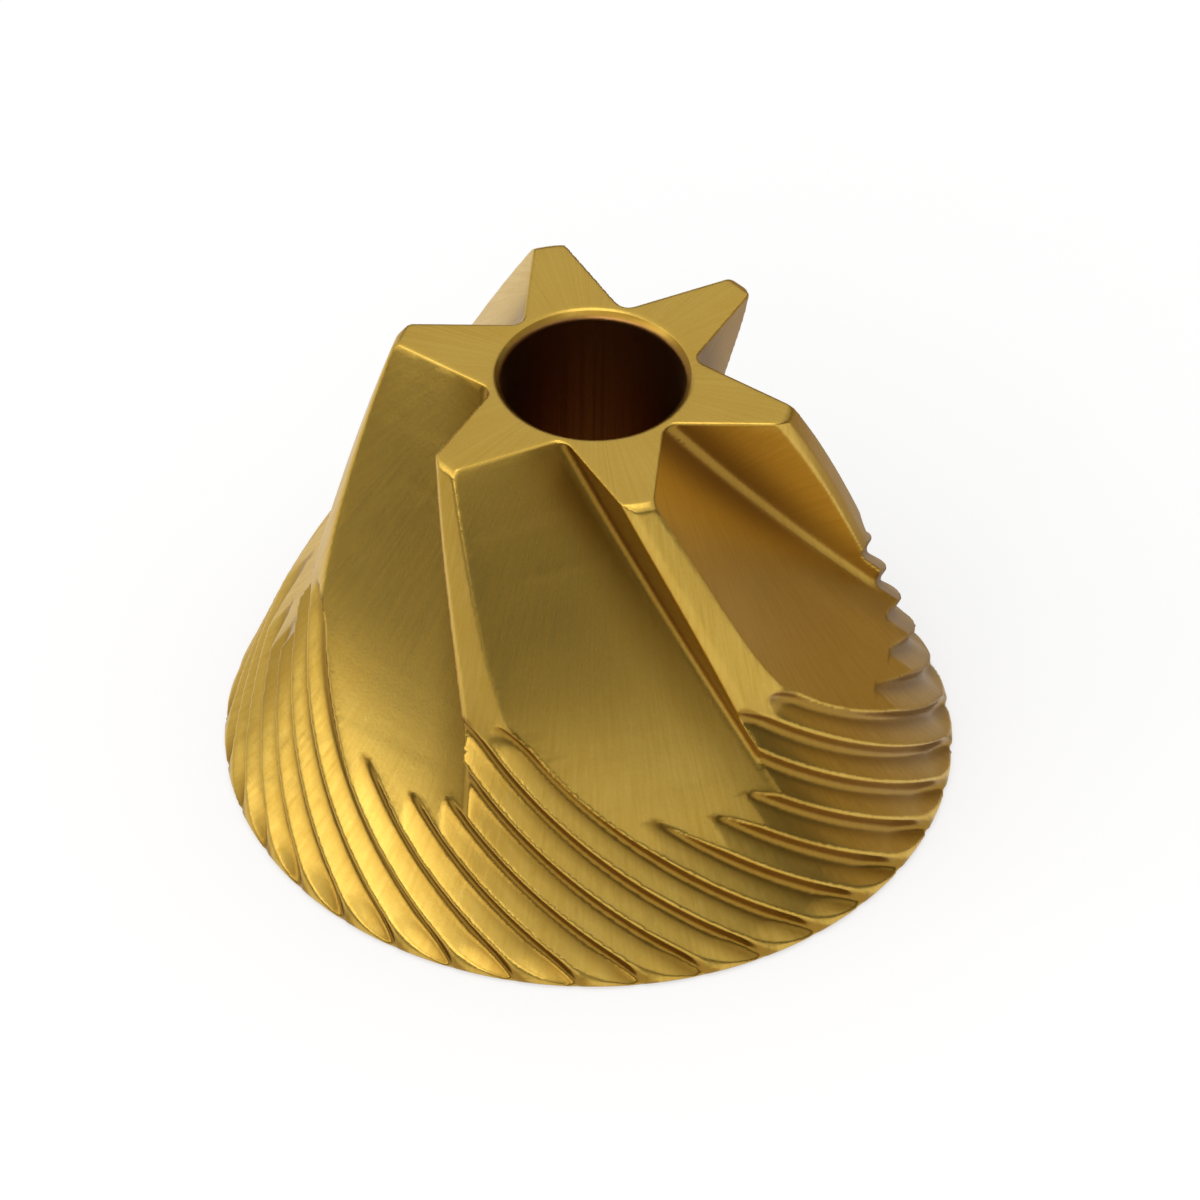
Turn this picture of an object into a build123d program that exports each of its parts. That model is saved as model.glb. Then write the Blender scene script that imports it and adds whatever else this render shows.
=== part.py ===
from build123d import *
import os
from math import atan2, cos, degrees, pi, radians, sin, sqrt

# Conical grinding burr, axis on Z, standing on its flat base. Sizes in mm, angles in degrees.
base_diameter = 38.0
height = 25.4
tip_diameter = 20.9
foot_height = 12.8
foot_diameter = 28.8
rim_height = 0.5

bore_diameter = 9.4
bore_chamfer = 0.45
tip_chamfer = 0.3
base_chamfer = 0.25
base_bore_chamfer = 0.6

blade_count = 6
blade_angle = 103.1
tip_land = 1.5
flute_root_radius = 5.24
flute_root_flat = 0.45
flute_heading = 73.3
flute_travel = 0.71
flute_travel_gain = 0.0047
flute_floor_sag = 6.5
flute_wall_sag = 4.0
flute_length = 20.0
blade_relief = 0.3
blade_relief_angle = 60.0

teeth_per_blade = 6
tooth_depth = 0.8
tooth_lead = 81.0
tooth_phase = 3.9
tooth_steep_share = 0.36
tooth_crest_share = 0.06
tooth_top = 0.5
tooth_runout = 1.6
tooth_exit = 2.5

base_radius = base_diameter / 2
tip_radius = tip_diameter / 2
foot_radius = foot_diameter / 2
bore_radius = bore_diameter / 2
lower_slope = (base_radius - foot_radius) / (foot_height - rim_height)
upper_slope = (foot_radius - tip_radius) / (height - foot_height)
blade_step = 360 / blade_count


def polar(radius, angle):
    return (radius * cos(radians(angle)), radius * sin(radians(angle)))


def crest_radius(z):
    # The cone that the tooth crests and the blade lands lie on.
    if z < foot_height:
        return foot_radius + (foot_height - z) * lower_slope
    return foot_radius - (z - foot_height) * upper_slope


def blank():
    # Turned blank: plain rim, two cone angles, through bore with a chamfer at each end.
    outline = [
        (bore_radius + base_bore_chamfer, 0),
        (base_radius - base_chamfer, 0),
        (base_radius, base_chamfer),
        (base_radius, rim_height),
        (foot_radius, foot_height),
        (tip_radius + tip_chamfer * upper_slope, height - tip_chamfer),
        (tip_radius - tip_chamfer, height),
        (bore_radius + bore_chamfer, height),
        (bore_radius, height - bore_chamfer),
        (bore_radius, base_bore_chamfer),
    ]
    face = make_face(Polyline(*[(r, 0, z) for r, z in outline], close=True))
    return revolve(face, Axis.Z)


def flute_section(drop):
    # The V of one flute in a level plane, with a narrow flat at its root. It starts on a radial line and
    # slides sideways as it goes down, so that the floor comes out through the cone above the base. The
    # wall leans back just inside the cone, which relieves the land behind the cutting edge.
    half_step = radians(blade_step / 2 - degrees(tip_land / tip_radius) / 2)
    opening = degrees(atan2(tip_radius * sin(half_step), tip_radius * cos(half_step) - flute_root_radius))
    sag = sin(pi * (max(0, drop) / flute_length) ** 1.5)
    slide = flute_travel * drop + flute_travel_gain * drop * abs(drop)
    across = polar(slide, flute_heading)
    root = Vector(flute_root_radius + across[0], across[1])
    reach = 2 * base_radius
    wall = Vector(*polar(1, opening + flute_wall_sag * sag))
    inner = crest_radius(height - drop) - blade_relief
    along = root.dot(wall)
    room = along**2 - root.dot(root) + inner**2
    wall_length = max(2 * flute_root_flat, sqrt(max(0, room)) - along)
    bend = root + wall * wall_length
    side_a = root + Vector(*polar(reach, -opening - flute_floor_sag * sag))
    side_b = bend + Vector(*polar(reach, degrees(atan2(bend.Y, bend.X)) + blade_relief_angle))
    far = root + Vector(2 * reach, 0)
    face = make_face(Polyline(root, side_a, far, side_b, bend, close=True))
    corner = face.vertices().sort_by_distance(root)[0]
    return Pos(0, 0, height - drop) * chamfer(corner, flute_root_flat)


def flute():
    top = 1.0
    bottom = height - rim_height
    steps = 8
    drops = [-top + (top + bottom) * i / steps for i in range(steps + 1)]
    return loft([flute_section(drop) for drop in drops])


def tooth_section(z):
    # The sawtooth space between two crests in a level plane: a long fall, then a steeper rise.
    pitch = blade_step / teeth_per_blade
    radius = crest_radius(z)
    depth = tooth_depth * radius / base_radius
    start = foot_height + tooth_top - tooth_runout
    lift = depth * max(0, (z - start) / tooth_runout, 1 - z / tooth_exit) ** 2
    turn = 360 * (foot_height - z) / tooth_lead
    long_fall = pitch * (1 - tooth_steep_share - tooth_crest_share)
    steep_rise = pitch * tooth_steep_share
    over = 0.2 * pitch * tooth_crest_share
    fall_over = depth * over / long_fall
    rise_over = depth * over / steep_rise
    bottom = polar(radius + lift - depth, turn + long_fall)
    fall_end = polar(radius + lift + fall_over, turn - over)
    outside = polar(radius + lift + tooth_depth, turn + pitch / 2)
    rise_end = polar(radius + lift + rise_over, turn + long_fall + steep_rise + over)
    return Pos(0, 0, z) * make_face(Polyline(bottom, fall_end, outside, rise_end, close=True))


def tooth_space():
    below = 0.4
    steps = 12
    above = tooth_top + 0.1
    levels = [-below + (foot_height + above + below) * i / steps for i in range(steps + 1)]
    return loft([tooth_section(z) for z in levels])


os.makedirs("parts", exist_ok=True)

space = tooth_space()
tooth_count = blade_count * teeth_per_blade
spaces = [Rot(0, 0, blade_angle + tooth_phase + 360 / tooth_count * i) * space for i in range(tooth_count)]
cut = flute()
flutes = [Rot(0, 0, blade_angle + blade_step * (i - 0.5)) * cut for i in range(blade_count)]

burr = blank() - spaces - flutes
export_step(burr, "parts/cone_burr.step")
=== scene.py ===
import bpy
import bmesh
from math import atan2, cos, degrees, pi, radians, sin, sqrt
from mathutils import Matrix, Vector


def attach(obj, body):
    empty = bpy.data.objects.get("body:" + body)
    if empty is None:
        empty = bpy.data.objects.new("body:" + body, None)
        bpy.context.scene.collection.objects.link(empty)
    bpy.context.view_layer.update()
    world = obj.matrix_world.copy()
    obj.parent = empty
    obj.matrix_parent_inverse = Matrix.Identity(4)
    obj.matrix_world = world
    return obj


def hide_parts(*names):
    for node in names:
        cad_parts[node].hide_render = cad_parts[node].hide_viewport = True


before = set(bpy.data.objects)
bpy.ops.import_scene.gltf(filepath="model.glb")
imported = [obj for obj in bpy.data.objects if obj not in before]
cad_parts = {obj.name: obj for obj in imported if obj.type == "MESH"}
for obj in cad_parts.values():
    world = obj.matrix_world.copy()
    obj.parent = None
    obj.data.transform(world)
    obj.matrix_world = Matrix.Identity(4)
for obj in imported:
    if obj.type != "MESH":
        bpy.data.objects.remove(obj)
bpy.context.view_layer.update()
scene = bpy.context.scene
scene.view_settings.view_transform = "Standard"
print("frame loaded:", sorted(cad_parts))

# the coated cone: lengths in mm, turned to metres when its mesh is finished, and angles in degrees
cone = {
    "baseRadius": 19.0, "height": 25.4, "tipRadius": 10.45, "footHeight": 12.8, "footRadius": 14.4,
    "rimHeight": 0.5, "boreRadius": 4.7, "boreChamfer": 0.45, "tipChamfer": 0.3,
    "baseChamfer": 0.25, "baseBoreChamfer": 0.6, "bladeAngle": 103.1,
}
tooth = {
    "count": 36, "depth": 0.95, "lead": 81.0, "phase": 3.9, "steepShare": 0.36, "crestShare": 0.06,
    "top": 0.5, "runout": 1.6, "exit": 1.7, "gulletRound": 0.8, "mostLift": 0.97,
    "shadeFrom": 0.21, "shadeFull": 0.48, "shadeFade": 3.0, "shadeSkin": 0.05,
    "crestPoints": 3, "fallPoints": 10, "risePoints": 7, "levelStep": 0.45, "runoutLevels": 16,
    "rimLevels": (0.0, 0.25, 0.4, 0.5, 0.75, 1.0, 1.3, 1.6, 2.0),
}
flute = {
    "count": 6, "tipLand": 1.5, "rootRadius": 5.24, "rootRound": 0.7, "heading": 73.3, "travel": 0.71,
    "travelGain": 0.0047, "floorSag": 6.5, "wallSag": 4.0, "length": 20.0, "sagPower": 1.5,
    "relief": 0.3, "reliefAngle": 60.0, "above": 1.0, "levels": 105, "arcPoints": 11,
}
coating = {
    "deep": (0.56, 0.34, 0.052, 1), "pale": (0.66, 0.445, 0.095, 1), "rough": (0.27, 0.35),
    # the two browns on the next line are painted shade, the first inside the bore, the second in the
    # flutes, the teeth's gullets and along the foot of the rim; the two lines after them say where it lies
    "boreShade": (0.32, 0.16, 0.05, 1), "paintedShade": (0.24, 0.122, 0.014, 1),
    "deepFrom": 0.8, "deepTo": 4.6, "deepShare": 0.36, "rootFrom": 3.4, "rootTo": 0.7, "rootShare": 0.45,
    "gulletShare": 0.76, "rimLine": 0.3, "topSkin": 0.12, "boreFrom": 0.2, "boreTo": 0.05,
    "lineStretch": 6.0, "lineScale": 80.0, "lineDetail": 3.0, "grainScale": 7000.0, "grainDetail": 2.0,
    "cloudScale": 180.0, "cloudDetail": 3.0,
    "lineShare": 0.5, "grainShare": 0.2, "cloudShare": 0.3, "noiseLow": 0.3, "noiseHigh": 0.7,
    "bump": 0.18, "bumpDepth": 0.00002,
}
softEdges = {
    "voxel": 0.12, "adaptivity": 0.0, "factor": 0.5, "passes": 5, "kept": 0.19,
    "foldLimit": 0.45, "foldPasses": 4,
}

cone["lowerSlope"] = (cone["baseRadius"] - cone["footRadius"]) / (cone["footHeight"] - cone["rimHeight"])
cone["upperSlope"] = (cone["footRadius"] - cone["tipRadius"]) / (cone["height"] - cone["footHeight"])


def coneRadius(z):
    below = cone["footHeight"] - z
    return cone["footRadius"] + below * cone["lowerSlope" if below > 0 else "upperSlope"]


def flatPoint(radius, angle):
    return Vector((radius * cos(radians(angle)), radius * sin(radians(angle))))


def turnedRadius(z):  # the blank as it leaves the lathe, rim and base chamfer included
    return min(coneRadius(z), cone["baseRadius"], cone["baseRadius"] - cone["baseChamfer"] + z)


def gulletLift(z):  # how far the gullet has risen to the cone's skin where it runs out, above and below
    start = cone["footHeight"] + tooth["top"] - tooth["runout"]
    return max(0, (z - start) / tooth["runout"], 1 - z / tooth["exit"]) ** 2


def gulletDepth(z, lifted):
    return tooth["depth"] * coneRadius(z) / cone["baseRadius"] * (1 - lifted)


def toothTurn(z):  # the helix, as the angle of the first crest
    return cone["bladeAngle"] + tooth["phase"] + 360 * (cone["footHeight"] - z) / tooth["lead"]


def gulletSink(onFall, onRise, depth):  # the lower of fall and rise, rounded where they meet
    rounded = tooth["gulletRound"] * depth
    blend = max(0, 1 - abs(onFall - onRise) / rounded)
    return max(0, min(onFall, onRise) - blend ** 2 * rounded / 4)


def toothRing(z):
    # one ring of angles and radii, its columns laid on the crest, fall and rise of each tooth
    t = tooth
    pitch = 360 / t["count"]
    radius = coneRadius(z)
    lifted = min(gulletLift(z), t["mostLift"])
    depth = gulletDepth(z, lifted)
    turn = toothTurn(z)
    fall = pitch * (1 - t["steepShare"] - t["crestShare"])
    rise = pitch * t["steepShare"]
    left, root, right = fall * lifted, fall, fall + rise * (1 - lifted)
    crest = right - pitch
    columns = [crest + (left - crest) * k / t["crestPoints"] for k in range(t["crestPoints"])]
    columns += [left + (root - left) * k / t["fallPoints"] for k in range(t["fallPoints"])]
    columns += [root + (right - root) * k / t["risePoints"] for k in range(t["risePoints"])]
    most = turnedRadius(z)
    ring = []
    for i in range(t["count"]):
        for angle in columns:
            onFall = depth * (angle - left) / (root - left)
            onRise = depth * (right - angle) / (right - root)
            sunk = gulletSink(onFall, onRise, depth)
            ring.append((turn + pitch * i + angle, min(radius - sunk, most)))
    return ring


def plainRing(angles, radius, z):
    return [(radius * cos(radians(a)), radius * sin(radians(a)), z) for a in angles]


def meshFromRings(name, rings, links):
    vertices = [p for ring in rings for p in ring]
    faces = []
    for low, high, shift in links:
        n = len(rings[low])
        for i in range(n):
            j = (i + 1) % n
            faces.append((low * n + i, low * n + j, high * n + (j + shift) % n, high * n + (i + shift) % n))
    mesh = bpy.data.meshes.new(name)
    mesh.from_pydata(vertices, [], faces)
    mesh.validate()
    return mesh


def toothedBlank():
    c = cone
    low = tooth["exit"]
    high = c["footHeight"] + tooth["top"] - tooth["runout"]
    plain = int((high - low) / tooth["levelStep"])
    last = tooth["runoutLevels"]
    levels = list(tooth["rimLevels"])
    levels += [low + (high - low) * i / plain for i in range(plain + 1)]
    levels += [high + tooth["runout"] * i / last for i in range(1, last + 1)]
    levels = sorted(set(round(z, 5) for z in levels + [c["footHeight"]]))
    rings = []
    for z in levels:
        rings.append([(r * cos(radians(a)), r * sin(radians(a)), z) for a, r in toothRing(z)])
    angles = [a for a, r in toothRing(levels[-1])]
    shoulder = c["height"] - c["tipChamfer"]
    rings.append(plainRing(angles, coneRadius(shoulder), shoulder))
    rings.append(plainRing(angles, c["tipRadius"] - c["tipChamfer"], c["height"]))
    rings.append(plainRing(angles, c["boreRadius"] + c["boreChamfer"], c["height"]))
    rings.append(plainRing(angles, c["boreRadius"], c["height"] - c["boreChamfer"]))
    rings.append(plainRing(angles, c["boreRadius"], c["baseBoreChamfer"]))
    rings.append(plainRing(angles, c["boreRadius"] + c["baseBoreChamfer"], 0.0))
    links = [(i, i + 1, 0) for i in range(len(rings) - 1)]
    columns = len(angles) // tooth["count"]
    turned = (levels[-1] - levels[0]) * 360 / tooth["lead"] / (360 / tooth["count"])
    links.append((len(rings) - 1, 0, -round(turned) * columns))
    return meshFromRings("toothedBlank", rings, links)


def fluteRoot(drop):
    slide = flute["travel"] * drop + flute["travelGain"] * drop * abs(drop)
    return Vector((flute["rootRadius"], 0)) + flatPoint(slide, flute["heading"])


# how much painted shade a point on the teeth gets
def gulletShare(angle, radius, z):  # 0 on a tooth's crest and clear fall, 1 at the bottom of its gullet
    t = tooth
    lifted = gulletLift(z)
    if lifted >= 1:
        return 0.0
    place = (angle - toothTurn(z)) * t["count"] / 360 % 1
    depth = gulletDepth(z, lifted)
    onFall = depth * place / (1 - t["steepShare"] - t["crestShare"])
    onRise = depth * (1 - t["crestShare"] - place) / t["steepShare"]
    skin = coneRadius(z) - gulletSink(onFall, onRise, depth)
    if radius < skin - t["shadeSkin"]:  # on a flute, not on the teeth
        return 0.0
    rising = min(1, max(0, (place - t["shadeFrom"]) / (t["shadeFull"] - t["shadeFrom"])))
    ending = min(1, max(0, (1 - t["crestShare"] - place) / t["crestShare"]))
    return min(1, t["shadeFade"] * (1 - lifted)) * min(rising, ending)


def markShade(mesh):
    # how far each point lies from the nearest flute's root, in metres, and how deep it lies in a tooth's
    # gullet: the weights of the painted shade in the flutes and gullets
    distance = mesh.attributes.new("rootDistance", "FLOAT", "POINT")
    gullet = mesh.attributes.new("gullet", "FLOAT", "POINT")
    turns = []
    for i in range(flute["count"]):
        angle = cone["bladeAngle"] + 360 / flute["count"] * (i - 0.5)
        turns.append(Matrix.Rotation(-radians(angle), 2))
    for point in mesh.vertices:
        flat = point.co.xy
        root = fluteRoot(cone["height"] - point.co.z)
        distance.data[point.index].value = min((turn @ flat - root).length for turn in turns) / 1000
        angle = degrees(atan2(flat.y, flat.x))
        gullet.data[point.index].value = gulletShare(angle, flat.length, point.co.z)


def fluteSection(drop):
    # the flute in a level plane: floor, rounded root, wall, and the relief that thins the blade's land
    f = flute
    half = radians(180 / f["count"]) - f["tipLand"] / cone["tipRadius"] / 2
    opening = degrees(atan2(cone["tipRadius"] * sin(half), cone["tipRadius"] * cos(half) - f["rootRadius"]))
    sag = sin(pi * (max(0, drop) / f["length"]) ** f["sagPower"])
    reach = 2 * cone["baseRadius"]  # well outside the cone
    root = fluteRoot(drop)
    floorWay = -opening - f["floorSag"] * sag
    wallWay = opening + f["wallSag"] * sag
    halfTurn = (wallWay - floorWay) / 2
    centre = root + flatPoint(f["rootRound"] / sin(radians(halfTurn)), (wallWay + floorWay) / 2)
    points = [root + flatPoint(reach, floorWay)]
    for i in range(f["arcPoints"]):
        way = floorWay - 90 - (180 - 2 * halfTurn) * i / (f["arcPoints"] - 1)
        points.append(centre + flatPoint(f["rootRound"], way))
    wall = flatPoint(1, wallWay)
    along = root.dot(wall)
    room = along ** 2 - root.dot(root) + (coneRadius(cone["height"] - drop) - f["relief"]) ** 2
    bend = root + wall * max(2 * f["rootRound"], sqrt(max(0, room)) - along)
    points.append(bend)
    points.append(bend + flatPoint(reach, degrees(atan2(bend.y, bend.x)) + f["reliefAngle"]))
    points.append(root + Vector((2 * reach, 0)))
    return [(p.x, p.y, cone["height"] - drop) for p in points]


def fluteCutter():
    first = -flute["above"]
    step = (cone["height"] - cone["rimHeight"] - first) / (flute["levels"] - 1)
    rings = [fluteSection(first + step * i) for i in range(flute["levels"])]
    mesh = meshFromRings("fluteCutter", rings, [(i, i + 1, 0) for i in range(len(rings) - 1)])
    work = bmesh.new()
    work.from_mesh(mesh)
    bmesh.ops.holes_fill(work, edges=[e for e in work.edges if e.is_boundary])
    bmesh.ops.recalc_face_normals(work, faces=work.faces)
    work.to_mesh(mesh)
    work.free()
    return mesh


def unfold(mesh):
    # decimation folds a few small faces over: their points go back between their neighbours
    work = bmesh.new()
    work.from_mesh(mesh)
    axes = {"use_axis_x": True, "use_axis_y": True, "use_axis_z": True}
    for turn in range(softEdges["foldPasses"]):
        work.normal_update()
        folded = set()
        for face in work.faces:
            if min(face.normal.dot(point.normal) for point in face.verts) < softEdges["foldLimit"]:
                folded.update(face.verts)
        bmesh.ops.smooth_vert(work, verts=list(folded), factor=1.0, **axes)
    print("folded points left:", len(folded))
    work.to_mesh(mesh)
    work.free()


def objectFor(mesh):
    piece = bpy.data.objects.new(mesh.name, mesh)
    scene.collection.objects.link(piece)
    return piece


def cutFlutesTree(material):
    tree = bpy.data.node_groups.new("cutFlutes", "GeometryNodeTree")
    sockets = tree.interface
    sockets.new_socket("Blank", in_out="INPUT", socket_type="NodeSocketGeometry")
    sockets.new_socket("Flute cutter", in_out="INPUT", socket_type="NodeSocketObject")
    sockets.new_socket("Flutes", in_out="INPUT", socket_type="NodeSocketInt")
    sockets.new_socket("First angle", in_out="INPUT", socket_type="NodeSocketFloat")
    sockets.new_socket("Burr", in_out="OUTPUT", socket_type="NodeSocketGeometry")
    add = tree.nodes.new
    link = tree.links.new
    start, end = add("NodeGroupInput"), add("NodeGroupOutput")
    cutter = add("GeometryNodeObjectInfo")
    points = add("GeometryNodePoints")
    index = add("GeometryNodeInputIndex")
    share = add("ShaderNodeMath")
    share.operation = "DIVIDE"
    turn = add("ShaderNodeMath")
    turn.operation = "MULTIPLY_ADD"
    rotation = add("ShaderNodeCombineXYZ")
    copies = add("GeometryNodeInstanceOnPoints")
    cut = add("GeometryNodeMeshBoolean")
    cut.operation = "DIFFERENCE"
    cut.solver = "EXACT"
    real = add("GeometryNodeRealizeInstances")
    finish = add("GeometryNodeSetMaterial")
    finish.inputs["Material"].default_value = material
    link(start.outputs["Flute cutter"], cutter.inputs["Object"])
    link(start.outputs["Flutes"], points.inputs["Count"])
    link(index.outputs[0], share.inputs[0])
    link(start.outputs["Flutes"], share.inputs[1])
    link(share.outputs[0], turn.inputs[0])
    turn.inputs[1].default_value = 2 * pi
    link(start.outputs["First angle"], turn.inputs[2])
    link(turn.outputs[0], rotation.inputs["Z"])
    link(points.outputs[0], copies.inputs["Points"])
    link(cutter.outputs["Geometry"], copies.inputs["Instance"])
    link(rotation.outputs[0], copies.inputs["Rotation"])
    link(start.outputs["Blank"], cut.inputs["Mesh 1"])
    link(copies.outputs[0], cut.inputs["Mesh 2"])
    link(cut.outputs[0], real.inputs[0])
    link(real.outputs[0], finish.inputs["Geometry"])
    link(finish.outputs[0], end.inputs[0])
    return tree


def coatedSteel():
    m = bpy.data.materials.new("goldCoatedSteel")
    m.use_nodes = True
    nodes, link = m.node_tree.nodes, m.node_tree.links.new
    shader = nodes["Principled BSDF"]
    shader.inputs["Metallic"].default_value = 1.0

    def math(kind, first, second=0.0):
        node = nodes.new("ShaderNodeMath")
        node.operation = kind
        for socket, value in zip(node.inputs, (first, second)):
            if isinstance(value, (int, float)):
                socket.default_value = value
            else:
                link(value, socket)
        return node.outputs[0]

    def noise(vector, scale, detail):
        node = nodes.new("ShaderNodeTexNoise")
        node.inputs["Scale"].default_value = scale
        node.inputs["Detail"].default_value = detail
        link(vector, node.inputs["Vector"])
        return node.outputs["Fac"]

    def between(factor, low, high):
        node = nodes.new("ShaderNodeMapRange")
        node.inputs["From Min"].default_value = coating["noiseLow"]
        node.inputs["From Max"].default_value = coating["noiseHigh"]
        node.inputs["To Min"].default_value = low
        node.inputs["To Max"].default_value = high
        link(factor, node.inputs["Value"])
        return node.outputs["Result"]

    def faded(value, first, last):  # from 0 to 1 between two lengths in mm
        node = nodes.new("ShaderNodeMapRange")
        node.interpolation_type = "SMOOTHSTEP"
        node.inputs["From Min"].default_value = first / 1000
        node.inputs["From Max"].default_value = last / 1000
        link(value, node.inputs["Value"])
        return node.outputs["Result"]

    def mixed(factor, first, second):
        node = nodes.new("ShaderNodeMix")
        node.data_type = "RGBA"
        link(factor, node.inputs["Factor"])
        for name, value in (("A", first), ("B", second)):
            if isinstance(value, tuple):
                node.inputs[name].default_value = value
            else:
                link(value, node.inputs[name])
        return node.outputs["Result"]

    place = nodes.new("ShaderNodeTexCoord").outputs["Object"]
    parts = nodes.new("ShaderNodeSeparateXYZ")
    link(place, parts.inputs[0])
    x, y, z = parts.outputs
    radius = math("SQRT", math("ADD", math("MULTIPLY", x, x), math("MULTIPLY", y, y)))
    # milling lines run down the cone: fine round it, long along it
    lines = nodes.new("ShaderNodeCombineXYZ")
    link(math("DIVIDE", x, radius), lines.inputs["X"])
    link(math("DIVIDE", y, radius), lines.inputs["Y"])
    link(math("MULTIPLY", z, coating["lineStretch"]), lines.inputs["Z"])
    streaks = noise(lines.outputs[0], coating["lineScale"], coating["lineDetail"])
    grain = noise(place, coating["grainScale"], coating["grainDetail"])
    clouds = noise(place, coating["cloudScale"], coating["cloudDetail"])
    fine = math("MULTIPLY", grain, coating["grainShare"])
    mottle = math("ADD", fine, math("MULTIPLY", clouds, coating["cloudShare"]))
    tone = math("ADD", math("MULTIPLY", streaks, coating["lineShare"]), mottle)
    gold = mixed(between(tone, 0.0, 1.0), coating["deep"], coating["pale"])

    # painted shade: browner the deeper it lies in a flute, the nearer a flute's root and the deeper in a
    # tooth's gullet, and along the foot of the rim
    belowFoot = math("SUBTRACT", cone["footHeight"] / 1000, z)
    lower = math("MULTIPLY", belowFoot, cone["lowerSlope"])
    upper = math("MULTIPLY", belowFoot, cone["upperSlope"])
    skin = math("ADD", math("MAXIMUM", lower, upper), cone["footRadius"] / 1000)
    under = math("SUBTRACT", skin, radius)
    sunk = math("MULTIPLY", faded(under, coating["deepFrom"], coating["deepTo"]), coating["deepShare"])
    nearby = nodes.new("ShaderNodeAttribute")
    nearby.attribute_name = "rootDistance"
    root = faded(nearby.outputs["Fac"], coating["rootFrom"], coating["rootTo"])
    root = math("MULTIPLY", root, coating["rootShare"])
    belowTop = math("LESS_THAN", z, (cone["height"] - coating["topSkin"]) / 1000)
    gullet = nodes.new("ShaderNodeAttribute")
    gullet.attribute_name = "gullet"
    paintedShade = math("MULTIPLY", math("ADD", sunk, root), belowTop)
    paintedShade = math("MAXIMUM", paintedShade, math("MULTIPLY", gullet.outputs["Fac"], coating["gulletShare"]))
    rim = faded(z, coating["rimLine"], 0.0)
    gold = mixed(math("MAXIMUM", paintedShade, rim), gold, coating["paintedShade"])
    # painted shade inside the bore: its wall is mixed towards a dark brown
    bore = cone["boreRadius"]
    inside = faded(radius, bore + coating["boreFrom"], bore + coating["boreTo"])
    link(mixed(inside, gold, coating["boreShade"]), shader.inputs["Base Color"])
    link(between(tone, coating["rough"][1], coating["rough"][0]), shader.inputs["Roughness"])
    bump = nodes.new("ShaderNodeBump")
    bump.inputs["Strength"].default_value = coating["bump"]
    bump.inputs["Distance"].default_value = coating["bumpDepth"]
    link(math("ADD", streaks, grain), bump.inputs["Height"])
    link(bump.outputs[0], shader.inputs["Normal"])
    return m


goldCoating = coatedSteel()
blank = objectFor(toothedBlank())
cutter = objectFor(fluteCutter())
print("blank and cutter made:", len(blank.data.polygons), len(cutter.data.polygons))

cutFlutes = blank.modifiers.new("cutFlutes", "NODES")
cutFlutes.node_group = cutFlutesTree(goldCoating)
for item in cutFlutes.node_group.interface.items_tree:
    if item.name == "Flute cutter":
        cutFlutes[item.identifier] = cutter
    if item.name == "Flutes":
        cutFlutes[item.identifier] = flute["count"]
    if item.name == "First angle":
        cutFlutes[item.identifier] = radians(cone["bladeAngle"] - 180 / flute["count"])
evaluated = blank.evaluated_get(bpy.context.evaluated_depsgraph_get())
burrMesh = bpy.data.meshes.new_from_object(evaluated)
burrMesh.name = "coneBurr"
bpy.data.objects.remove(blank)
bpy.data.objects.remove(cutter)
print("flutes cut:", len(burrMesh.polygons), "faces")

burr = objectFor(burrMesh)
skin = burr.modifiers.new("evenSkin", "REMESH")
skin.mode = "VOXEL"
skin.voxel_size = softEdges["voxel"]
skin.adaptivity = softEdges["adaptivity"]
skin.use_smooth_shade = True
soften = burr.modifiers.new("softEdges", "SMOOTH")
soften.factor = softEdges["factor"]
soften.iterations = softEdges["passes"]
lighten = burr.modifiers.new("lighten", "DECIMATE")
lighten.ratio = softEdges["kept"]
evaluated = burr.evaluated_get(bpy.context.evaluated_depsgraph_get())
softMesh = bpy.data.meshes.new_from_object(evaluated)
burr.modifiers.clear()
burr.data = softMesh
unfold(softMesh)
softMesh.name = "coneBurr"
softMesh.materials.clear()
softMesh.materials.append(goldCoating)
markShade(softMesh)
softMesh.transform(Matrix.Scale(0.001, 4))
triangles = sum(len(f.vertices) - 2 for f in softMesh.polygons)
print("edges softened:", len(softMesh.polygons), "faces", triangles, "triangles")
burr.name = "coneBurr"
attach(burr, "root")
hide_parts("cone_burr")

stage = {
    "floorSize": 3.0, "floorColour": (0.97, 0.97, 0.97, 1), "floorRoughness": 0.9, "whiteShare": 0.6,
    "worldStrength": 0.75, "lampAim": (0, 0, 0.012),
}


def floorMaterial():
    m = bpy.data.materials.new("paleFloor")
    m.use_nodes = True
    nodes, link = m.node_tree.nodes, m.node_tree.links.new
    shader = nodes["Principled BSDF"]
    shader.inputs["Base Color"].default_value = stage["floorColour"]
    shader.inputs["Roughness"].default_value = stage["floorRoughness"]
    white = nodes.new("ShaderNodeEmission")
    white.inputs["Strength"].default_value = 1.0
    path = nodes.new("ShaderNodeLightPath")
    share = nodes.new("ShaderNodeMath")
    share.operation = "MULTIPLY"
    share.inputs[1].default_value = stage["whiteShare"]
    seen = path.outputs["Is Camera Ray"]
    for kind in ("Is Glossy Ray", "Is Transmission Ray"):
        either = nodes.new("ShaderNodeMath")
        either.operation = "MAXIMUM"
        link(seen, either.inputs[0])
        link(path.outputs[kind], either.inputs[1])
        seen = either.outputs[0]
    link(seen, share.inputs[0])
    mix = nodes.new("ShaderNodeMixShader")
    link(share.outputs[0], mix.inputs[0])
    link(shader.outputs[0], mix.inputs[1])
    link(white.outputs[0], mix.inputs[2])
    link(mix.outputs[0], nodes["Material Output"].inputs["Surface"])
    return m


half = stage["floorSize"] / 2
floorMesh = bpy.data.meshes.new("floor")
corners = [(-half, -half, 0), (half, -half, 0), (half, half, 0), (-half, half, 0)]
floorMesh.from_pydata(corners, [], [(0, 1, 2, 3)])
floorMesh.materials.append(floorMaterial())
floor = objectFor(floorMesh)

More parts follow.
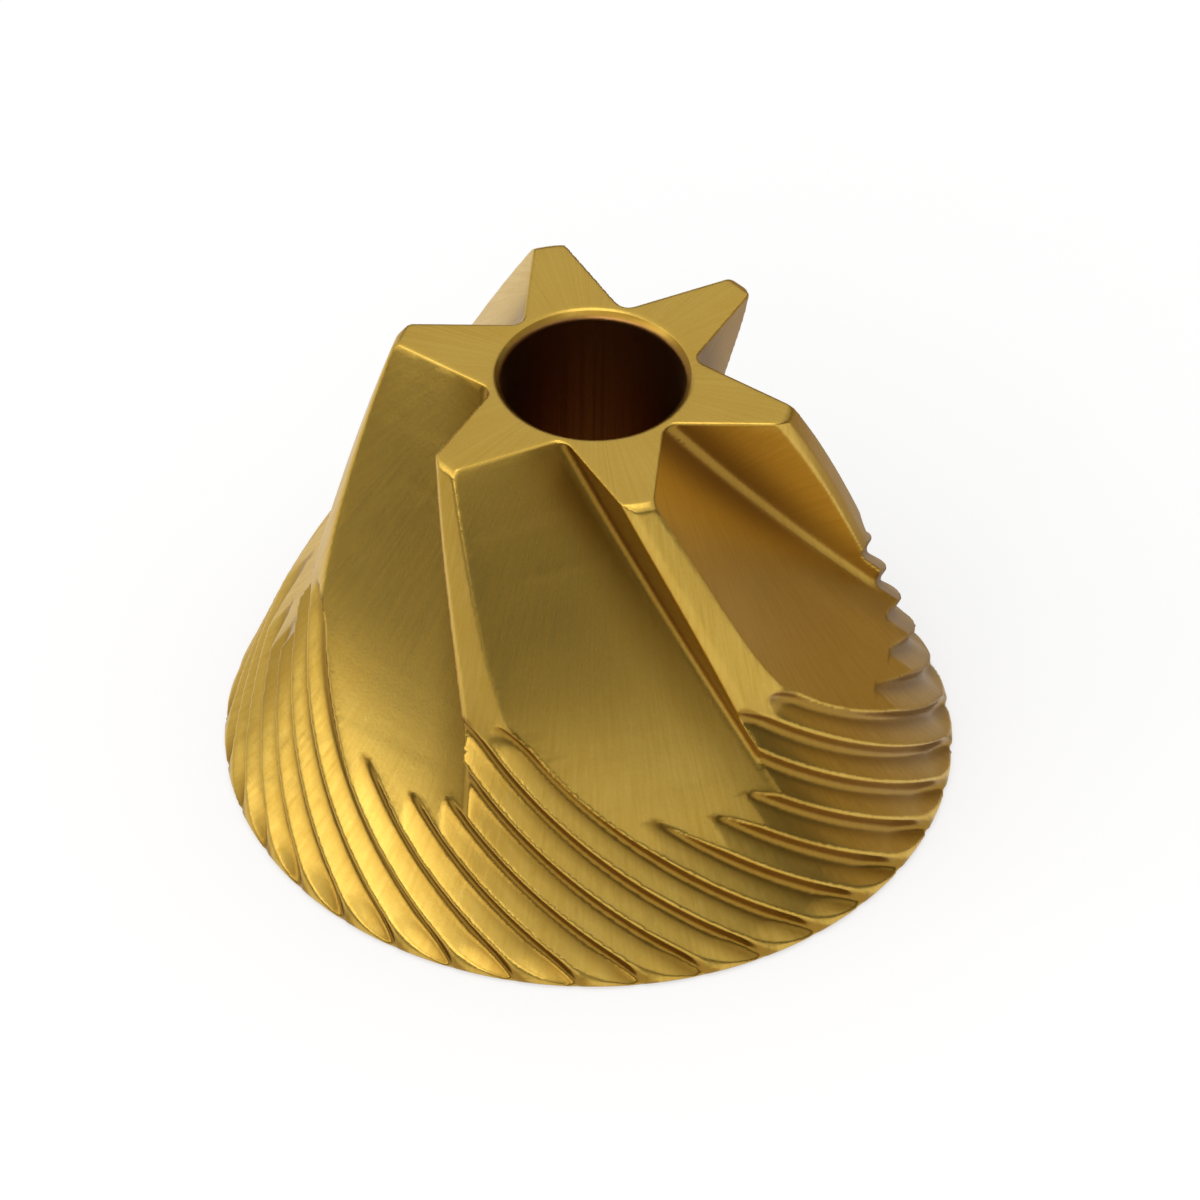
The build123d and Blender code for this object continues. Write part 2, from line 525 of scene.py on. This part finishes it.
# cards that only reflections see: a low dark band most of the way round, one close by on the right,
# and two that lie on the floor
cards = {
    "band": {
        "from": -168.0, "to": 120.0, "steps": 36,
        "edges": ((0.5, 0.0), (0.5, 0.19)), "colour": (0.03, 0.025, 0.02, 1),
    },
    "right": {
        "from": 5.0, "to": 80.0, "steps": 36,
        "edges": ((0.05, 0.0), (0.05, 0.03)), "colour": (0.37, 0.28, 0.16, 1),
    },
    "rightFloor": {
        "from": -5.0, "to": 70.0, "steps": 36,
        "edges": ((0.0195, 0.0002), (0.05, 0.0002)), "colour": (0.46, 0.4, 0.34, 1),
    },
    "leftFloor": {
        "from": -178.0, "to": -112.0, "steps": 36,
        "edges": ((0.05, 0.0002), (0.2, 0.0002)), "colour": (0.62, 0.6, 0.56, 1),
    },
}


def cardMaterial(name, colour):
    m = bpy.data.materials.new(name + "Card")
    m.use_nodes = True
    shader = m.node_tree.nodes["Principled BSDF"]
    shader.inputs["Base Color"].default_value = colour
    shader.inputs["Roughness"].default_value = 1.0
    return m


for name, card in cards.items():
    steps = card["steps"]
    points = []
    for i in range(steps + 1):
        way = card["from"] + (card["to"] - card["from"]) * i / steps
        for radius, height in card["edges"]:
            points.append((*flatPoint(radius, way), height))
    cardMesh = bpy.data.meshes.new(name + "Card")
    panels = [(2 * i, 2 * i + 2, 2 * i + 3, 2 * i + 1) for i in range(steps)]
    cardMesh.from_pydata(points, [], panels)
    cardMesh.materials.append(cardMaterial(name, card["colour"]))
    board = objectFor(cardMesh)
    board.visible_camera = False
    board.visible_diffuse = False
    board.visible_shadow = False
print("floor and cards placed")

view = {
    "elevation": 42.1, "roll": 0.78, "distance": 0.742, "aim": (0.0005, 0.0, 0.0098),
    "lens": 430.0, "sensor": 36, "clipEnd": 20,
}
camera = bpy.data.cameras.new("camera")
camera.lens = view["lens"]
camera.sensor_width = view["sensor"]
camera.clip_end = view["clipEnd"]
cameraObject = bpy.data.objects.new("camera", camera)
scene.collection.objects.link(cameraObject)
away = Vector((0, -cos(radians(view["elevation"])), sin(radians(view["elevation"]))))
cameraObject.matrix_world = (
    Matrix.Translation(Vector(view["aim"]) + away * view["distance"])
    @ away.to_track_quat("Z", "Y").to_matrix().to_4x4()
    @ Matrix.Rotation(radians(view["roll"]), 4, "Z")
)
scene.camera = cameraObject

lamps = {
    "left": {"from": (-0.755, -0.150, 0.570), "size": (0.46, 0.34), "power": 0.72},
    "key": {"from": (-0.547, -0.567, 0.531), "size": (0.52, 0.38), "power": 1.02},
    "front": {"from": (-0.157, -0.738, 0.490), "size": (0.50, 0.32), "power": 0.95},
    "top": {"from": (0.0, -0.25, 0.80), "size": (0.50, 0.50), "power": 1.4},
}
for name, lamp in lamps.items():
    light = bpy.data.lights.new(name, "AREA")
    light.shape = "RECTANGLE"
    light.size, light.size_y = lamp["size"]
    light.energy = lamp["power"]
    holder = bpy.data.objects.new(name, light)
    scene.collection.objects.link(holder)
    place = Vector(lamp["from"])
    aim = (place - Vector(stage["lampAim"])).to_track_quat("Z", "Y")
    holder.matrix_world = Matrix.Translation(place) @ aim.to_matrix().to_4x4()

world = bpy.data.worlds.new("studio")
scene.world = world
world.use_nodes = True
background = world.node_tree.nodes["Background"]
background.inputs["Color"].default_value = (1, 1, 1, 1)
background.inputs["Strength"].default_value = stage["worldStrength"]

print("scene ready")
